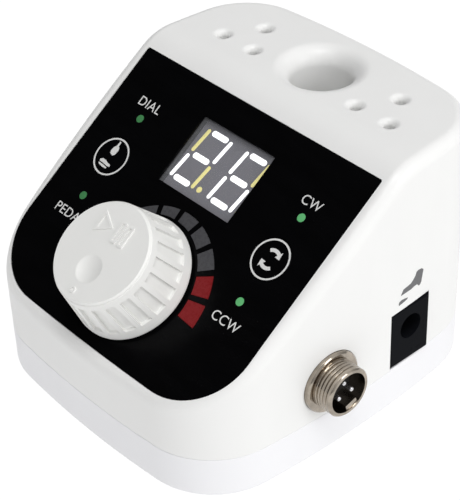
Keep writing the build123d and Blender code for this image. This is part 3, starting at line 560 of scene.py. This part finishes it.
def label(name, words, where):
    """One word in capitals, centred on the place, at the label height."""
    curve = bpy.data.curves.new(name, "FONT")
    curve.body = words
    curve.align_x = "CENTER"
    curve.size = 1.0
    curve.space_character = 1.06
    curve.extrude = 0.0
    piece = bpy.data.objects.new(name, curve)
    bpy.context.scene.collection.objects.link(piece)
    bpy.context.view_layer.update()
    height = piece.dimensions.y
    scale = sizes().label_height / height
    curve.size = scale
    curve.extrude = sizes().print_thickness / 2
    lowered = Matrix.Translation((0.0, -sizes().label_height / 2, 0.0))
    return placed_print(piece, where @ lowered, "case", "ink_white")


def on_panel(x, y, z):
    return PANEL @ Matrix.Translation((x, y, z))


# ------------------------------------------------------------------------------------------ operators
class MakeFinishes(bpy.types.Operator):
    """Gives every CAD node the finish of its material slot"""
    bl_idname = "control_box.finishes"
    bl_label = "Finishes"

    def execute(self, context):
        for cad_node, slot in SLOT_OF_NODE.items():
            paint(frame["nodes"][cad_node], finish_of(slot))
        return {"FINISHED"}


class MakeCase(bpy.types.Operator):
    """Upper case and base cover with their moulded edges broken"""
    bl_idname = "control_box.case"
    bl_label = "Case shells"

    def execute(self, context):
        refined("upper_case", "upper_case_shell", 0.1)
        refined("base_cover", "base_cover_shell", 0.1)
        return {"FINISHED"}


class MakePanel(bpy.types.Operator):
    """Front panel film and the speed arc bars"""
    bl_idname = "control_box.panel"
    bl_label = "Front panel"

    def execute(self, context):
        refined("panel_overlay", "panel_film", 0.05)
        refined("bar_lenses_red", "speed_bars_red", 0.06)
        refined("bar_lenses_dark", "speed_bars_dark", 0.06)
        return {"FINISHED"}


class MakeDisplay(bpy.types.Operator):
    """Two-digit display: lit bars in white, the rest in pale epoxy with a painted yellow glow"""
    bl_idname = "control_box.display"
    bl_label = "Display"

    lit_bars = {"0": "abcdef", "1": "bc", "2": "abged", "3": "abgcd", "4": "fgbc", "5": "afgcd",
                "6": "afgedc", "7": "abc", "8": "abcdefg", "9": "abcdfg"}

    def execute(self, context):
        parts = loose_parts("display_segments", "display_bars")
        centres = {p.name: panel_centre(p) for p in parts}
        longest = {p.name: max(panel_box(p)[1][i] - panel_box(p)[0][i] for i in range(2)) for p in parts}
        long_part = max(longest.values())
        for digit, side in enumerate((-1, 1)):
            mine = [p for p in parts if centres[p.name].x * side > 0]
            bars = [p for p in mine if longest[p.name] > long_part / 2]
            middle = sum((centres[p.name] for p in bars), Vector()) / len(bars)
            reach = max(abs(centres[p.name].y - middle.y) for p in bars)
            lit = self.lit_bars[sizes().reading[digit]]
            for part in mine:
                letter = self.letter(centres[part.name] - middle, reach) if part in bars else "dp"
                # bars that are not lit take the pale epoxy with its painted glow
                paint(part, finish_of("segment_lit") if letter in lit else finish_extra("bar_unlit_painted_glow"))
        joined(parts, "display_bars", "display_segments", 0.08)
        return {"FINISHED"}

    @staticmethod
    def letter(at, reach):
        """Which of the seven bars stands at this place from the middle of its digit."""
        if abs(at.y) > 0.8 * reach:
            return "a" if at.y > 0 else "d"
        if abs(at.y) < 0.2 * reach:
            return "g"
        if at.x < 0:
            return "f" if at.y > 0 else "e"
        return "b" if at.y > 0 else "c"


class MakeLamps(bpy.types.Operator):
    """Four indicator lamps with broken edges, the right pair brighter"""
    bl_idname = "control_box.lamps"
    bl_label = "Indicator lamps"

    def execute(self, context):
        parts = loose_parts("lamp_lenses", "indicator_lamps")
        for part in parts:
            paint(part, finish_extra("lamp_bright" if panel_centre(part).x > 0 else "lamp_dim"))
        joined(parts, "indicator_lamps", "lamp_lenses", 0.2)
        return {"FINISHED"}


class MakeKeys(bpy.types.Operator):
    """The two push keys with their white rings and pictograms"""
    bl_idname = "control_box.keys"
    bl_label = "Keys"

    def execute(self, context):
        for side in ("left", "right"):
            cap = refined(side + "_key", side + "_key_cap", 0.05)
            low, high = panel_box(cap)
            top = [v for v in cap.data.vertices if (PANEL.inverted() @ v.co).z > high.z - 0.05 * MM]
            where = on_panel((low.x + high.x) / 2, (low.y + high.y) / 2, high.z)
            radius = max((PANEL.inverted() @ v.co).x for v in top) - (low.x + high.x) / 2
            outer = (radius - sizes().ring_inset) / MM
            ring = [circle(outer), circle(outer - sizes().ring_width / MM)]
            body = BODY_OF_NODE[side + "_key"]
            printed(side + "_key_ring", ring, where, body, "ink_white")
            signs = self.hand_and_pedal() if side == "left" else self.turn_arrows()
            printed(side + "_key_sign", signs, where, body, "ink_white")
        return {"FINISHED"}

    @staticmethod
    def hand_and_pedal():
        """A raised hand over a shoe and its sole."""
        hand = [(-0.95, 0.55), (0.1, 0.35), (0.55, 0.85), (0.7, 2.0), (0.45, 2.75), (0.05, 2.8), (-0.05, 4.0),
                (-0.5, 4.15), (-0.65, 2.75), (-1.0, 2.45), (-1.25, 1.3)]
        shoe = [(-2.35, -1.75), (-1.7, -1.3), (-0.7, -1.35), (0.25, -1.65), (1.25, -1.8), (1.45, -2.3),
                (0.6, -2.45), (-0.9, -2.25), (-2.2, -2.2)]
        sole = [(-2.2, -2.5), (-0.9, -2.55), (0.8, -2.75), (0.75, -3.1), (-0.6, -3.15), (-2.0, -2.9)]
        return [hand, shoe, sole]

    @staticmethod
    def turn_arrows():
        """Two bent arrows that chase each other round the key."""
        inner, outer, head = 1.75, 2.6, 1.05    # band radii and half width of the arrow head
        band_turn, head_turn = 75.0, 34.0       # degrees that the band and the head take up
        mid = (inner + outer) / 2
        shapes = []
        for start in (130.0, 310.0):
            end = start - band_turn
            band = arc(outer, start, end) + arc(inner, end, start)
            tip = math.radians(end - head_turn)
            a = math.radians(end)
            wide = [((mid + head) * math.cos(a), (mid + head) * math.sin(a)),
                    (mid * math.cos(tip), mid * math.sin(tip)),
                    ((mid - head) * math.cos(a), (mid - head) * math.sin(a))]
            count = len(band) // 2
            shapes.append(band[:count] + wide + band[count:])
        return shapes


class MakeLabels(bpy.types.Operator):
    """Words beside the lamps"""
    bl_idname = "control_box.labels"
    bl_label = "Panel labels"

    def execute(self, context):
        low, high = panel_box(bpy.data.objects["indicator_lamps"])
        face = panel_box(bpy.data.objects["panel_film"])[1].z
        size = sizes()
        for side, upper, lower in ((-1, "DIAL", "PEDAL"), (1, "CW", "CCW")):
            x = side * ((high.x - low.x) / 2 - LAMP_HALF)
            label("label_" + upper.lower(), upper, on_panel(x, high.y - LAMP_HALF + size.label_above, face))
            label("label_" + lower.lower(), lower, on_panel(x, low.y + LAMP_HALF - size.label_below, face))
        return {"FINISHED"}


class MakeKnob(bpy.types.Operator):
    """Speed knob with softened moulded edges"""
    bl_idname = "control_box.knob"
    bl_label = "Knob"

    def execute(self, context):
        refined("knob", "speed_knob", 0.1, 3, 28.0)
        return {"FINISHED"}


class MakeSockets(bpy.types.Operator):
    """Handpiece connector and pedal socket on the right wall"""
    bl_idname = "control_box.sockets"
    bl_label = "Sockets"

    def execute(self, context):
        refined("connector_shell", "connector_body", 0.08)
        refined("connector_insulator", "connector_core", 0.08)
        refined("pedal_socket", "pedal_socket_block", 0.12)
        return {"FINISHED"}


class MakeSideSign(bpy.types.Operator):
    """Grey foot sign on the wall above the pedal socket"""
    bl_idname = "control_box.side_sign"
    bl_label = "Pedal sign"

    def execute(self, context):
        low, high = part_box("pedal_socket")
        clear = 4 * MM
        where = Matrix.Translation((high.x + clear, (low.y + high.y) / 2, high.z)) @ Matrix(
            ((0.0, 0.0, 1.0), (1.0, 0.0, 0.0), (0.0, 1.0, 0.0))).to_4x4()
        sole = [(-3.5, 4.35), (-3.3, 4.85), (-2.7, 5.75), (-1.4, 5.85), (-0.2, 6.0), (0.6, 6.6), (1.35, 7.45),
                (1.6, 8.2), (2.2, 8.4), (3.4, 8.2), (4.05, 7.6), (3.75, 6.0), (3.45, 4.45), (3.1, 3.9),
                (2.6, 3.75), (2.0, 4.5), (1.2, 4.55), (-0.1, 4.3), (-2.0, 4.35)]
        heel = [(-4.1, 1.85), (-4.15, 2.45), (-4.0, 2.8), (-3.2, 3.05), (-2.2, 2.85), (-1.15, 2.6),
                (-1.3, 2.2), (-2.3, 2.05)]
        sign = printed("pedal_sign", [sole, heel], where, "case", "ink_grey")
        lay_on_wall(sign, high.x + clear)
        return {"FINISHED"}


def lay_on_wall(piece, start):
    """Drops a print from the plane x = start onto the bowed wall below it."""
    shell = bpy.data.objects["upper_case_shell"]
    edit_all(piece)
    bpy.ops.mesh.quads_convert_to_tris()
    bpy.ops.mesh.subdivide(number_cuts=3)
    done_editing()
    for corner in piece.data.vertices:
        found, spot, _, _ = shell.ray_cast(corner.co, Vector((-1.0, 0.0, 0.0)))
        if not found:
            raise RuntimeError("the right wall was not found")
        corner.co.x += spot.x - start


class MakeRear(bpy.types.Operator):
    """Power inlet and rocker switch at the back"""
    bl_idname = "control_box.rear"
    bl_label = "Rear fittings"

    def execute(self, context):
        refined("power_inlet", "power_inlet_block", 0.12)
        refined("switch_housing", "switch_frame", 0.1)
        refined("switch_rocker", "rocker_cap", 0.12)
        return {"FINISHED"}


class MakeInner(bpy.types.Operator):
    """Parts inside the box with their edges broken"""
    bl_idname = "control_box.inner"
    bl_label = "Inner parts"

    def execute(self, context):
        for cad_node in ("heat_sink", "controller_chip", "motor_drivers", "board_header", "encoder_body"):
            refined(cad_node, cad_node + "_part", 0.1)
        return {"FINISHED"}


def sky_side(tree, where, direction, start, end):
    """How far a direction of the sky lies toward the given one, from 0 to 1."""
    facing = node(tree, "ShaderNodeVectorMath", {"operation": "DOT_PRODUCT"})
    tree.links.new(where, facing.inputs[0])
    facing.inputs[1].default_value = Vector(direction).normalized()
    made = node(tree, "ShaderNodeMapRange", {"interpolation_type": "SMOOTHSTEP"},
                Value=facing.outputs["Value"], From_Min=start, From_Max=end, To_Min=0.0, To_Max=1.0)
    return made.outputs["Result"]


class MakeStage(bpy.types.Operator):
    """Floor, soft light and camera"""
    bl_idname = "control_box.stage"
    bl_label = "Stage"

    floor_size, floor_glow = 60.0, 0.95
    floor_tones = ((0.1, 0.1, 0.1), (0.12, 0.12, 0.12))
    sky_bright_way, sky_low, sky_strength = (0.45, 0.1, 0.88), (0.13, 0.13, 0.145), 0.8
    card_way, card_edge, card_tone = (-0.625, -0.398, 0.67), (0.84, 0.95), (0.02, 0.02, 0.02)
    lamps = {"key": ((1.4, 0.4, 0.84), 0.6, 4.5), "top": ((0.4, -0.25, 1.35), 0.5, 6.2)}
    lamp_aim = (0.0, 0.0, 0.03)
    view_aim = (11.5 * MM, -7.1 * MM, 39.1 * MM)
    view_shift = (-0.0213, -0.0089)

    def execute(self, context):
        low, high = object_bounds()
        bpy.ops.object.select_all(action="DESELECT")
        bpy.ops.mesh.primitive_plane_add(size=self.floor_size, location=(0.0, 0.0, low[2]))
        floor = context.object
        floor.name = "floor"
        material, tree, shader = new_material("floor_paper")
        cloud = noise(tree, place(tree), 0.3, 2.0, 0.5)
        tree.links.new(two_tones(tree, cloud, *self.floor_tones), shader.inputs["Base Color"])
        shader.inputs["Roughness"].default_value = 0.9
        shader.inputs["Specular IOR Level"].default_value = 0.1
        shader.inputs["Emission Color"].default_value = (1.0, 1.0, 1.0, 1.0)
        shader.inputs["Emission Strength"].default_value = self.floor_glow
        floor.data.materials.append(material)
        floor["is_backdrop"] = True
        self.sky(context)
        self.lights(context)
        self.camera(context)
        return {"FINISHED"}

    def sky(self, context):
        """Soft surroundings, brighter above and to the right, with one dark card up and to the left."""
        world = bpy.data.worlds.new("studio")
        context.scene.world = world
        world.use_nodes = True
        tree = world.node_tree
        where = node(tree, "ShaderNodeTexCoord").outputs["Generated"]
        side = sky_side(tree, where, self.sky_bright_way, -0.2, 0.9)
        open_sky = two_tones(tree, side, self.sky_low, (1.0, 1.0, 1.0), 0.0, 1.0)
        card = sky_side(tree, where, self.card_way, *self.card_edge)
        shown = node(tree, "ShaderNodeMix", {"data_type": "RGBA"})
        tree.links.new(card, shown.inputs[0])
        tree.links.new(open_sky, shown.inputs[6])
        shown.inputs[7].default_value = (*self.card_tone, 1.0)
        tree.links.new(shown.outputs[2], tree.nodes["Background"].inputs["Color"])
        tree.nodes["Background"].inputs["Strength"].default_value = self.sky_strength

    def lights(self, context):
        aim = Vector(self.lamp_aim)
        for name, (spot, size, power) in self.lamps.items():
            lamp = bpy.data.lights.new(name, "AREA")
            lamp.size = size
            lamp.energy = power
            holder = bpy.data.objects.new(name, lamp)
            context.scene.collection.objects.link(holder)
            holder.location = spot
            holder.rotation_euler = (aim - Vector(spot)).to_track_quat("-Z", "Y").to_euler()

    def camera(self, context):
        view = context.scene.box_view
        data = bpy.data.cameras.new("camera")
        data.sensor_fit = "HORIZONTAL"
        data.lens = view.lens
        data.shift_x, data.shift_y = self.view_shift
        data.clip_start, data.clip_end = 0.01, 100.0
        holder = bpy.data.objects.new("camera", data)
        context.scene.collection.objects.link(holder)
        a, e, r = view.azimuth, view.elevation, view.roll
        back = Vector((math.sin(a) * math.cos(e), -math.cos(a) * math.cos(e), math.sin(e)))
        right = Vector((math.cos(a), math.sin(a), 0.0))
        up = back.cross(right)
        turned_right = math.cos(r) * right + math.sin(r) * up
        turned_up = math.cos(r) * up - math.sin(r) * right
        aim = Vector(self.view_aim)
        holder.matrix_world = Matrix.Translation(aim + back * view.distance) @ Matrix(
            (turned_right, turned_up, back)).transposed().to_4x4()
        context.scene.camera = holder
        context.scene.view_settings.view_transform = "Standard"


class BoxPanel(bpy.types.Panel):
    """Lists the operators of the control box"""
    bl_idname = "VIEW3D_PT_control_box"
    bl_label = "Control Box"
    bl_space_type = "VIEW_3D"
    bl_region_type = "UI"
    bl_category = "Control Box"

    def draw(self, context):
        for operator in OPERATORS:
            self.layout.operator(operator.bl_idname)
        for group in (context.scene.box_sizes, context.scene.box_colours, context.scene.box_view):
            box = self.layout.box()
            for name in group.__annotations__:
                box.prop(group, name)


OPERATORS = (MakeFinishes, MakeCase, MakePanel, MakeDisplay, MakeLamps, MakeKeys, MakeLabels, MakeKnob,
             MakeSockets, MakeSideSign, MakeRear, MakeInner, MakeStage)
CLASSES = (BoxColours, BoxSizes, BoxView, *OPERATORS, BoxPanel)


def register():
    for cls in CLASSES:
        bpy.utils.register_class(cls)
    bpy.types.Scene.box_sizes = bpy.props.PointerProperty(type=BoxSizes)
    bpy.types.Scene.box_colours = bpy.props.PointerProperty(type=BoxColours)
    bpy.types.Scene.box_view = bpy.props.PointerProperty(type=BoxView)


def unregister():
    del bpy.types.Scene.box_view
    del bpy.types.Scene.box_colours
    del bpy.types.Scene.box_sizes
    for cls in reversed(CLASSES):
        bpy.utils.unregister_class(cls)


def main():
    register()
    for operator in OPERATORS:
        group, name = operator.bl_idname.split(".")
        getattr(getattr(bpy.ops, group), name)()
    for piece in bpy.context.scene.objects:
        piece.select_set(False)


if __name__ == "__main__":
    main()
